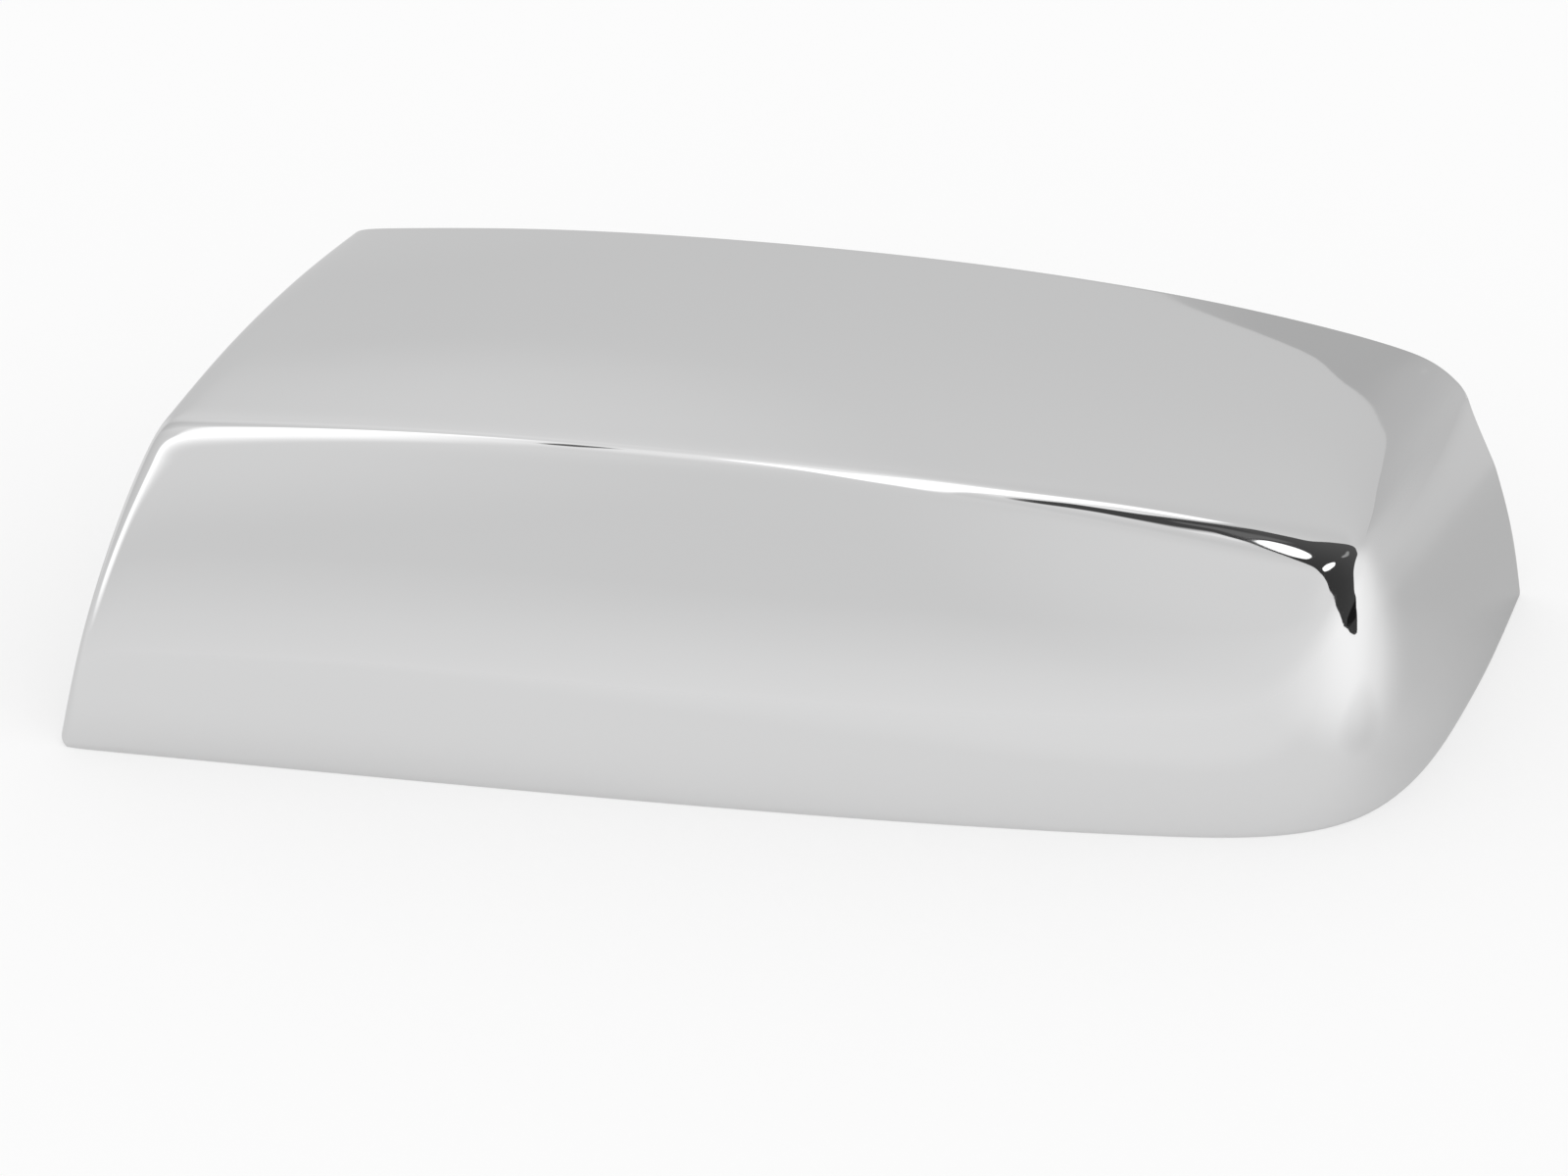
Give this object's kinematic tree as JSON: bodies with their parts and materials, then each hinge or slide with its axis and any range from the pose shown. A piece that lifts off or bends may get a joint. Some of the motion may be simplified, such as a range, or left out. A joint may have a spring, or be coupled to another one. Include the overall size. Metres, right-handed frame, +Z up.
{
  "type": "door mirror cover",
  "caption": "Chrome-plated clip-on cover shell for the upper half of a large door mirror housing, open at the rear, below and inboard.",
  "frame": {"origin": "centre of the bounding box at the level of the bottom rim, on which the cover rests", "axes": "+X from the inboard lip to the outboard end, +Y from the front to the open rear, +Z up"},
  "size_m": [0.2768, 0.109, 0.0676],
  "materials": {
    "chrome_plating": "bright mirror-polished plating over moulded plastic"
  },
  "bodies": {
    "root": {"mirror_cover": "chrome_plating"}
  },
  "joints": []
}
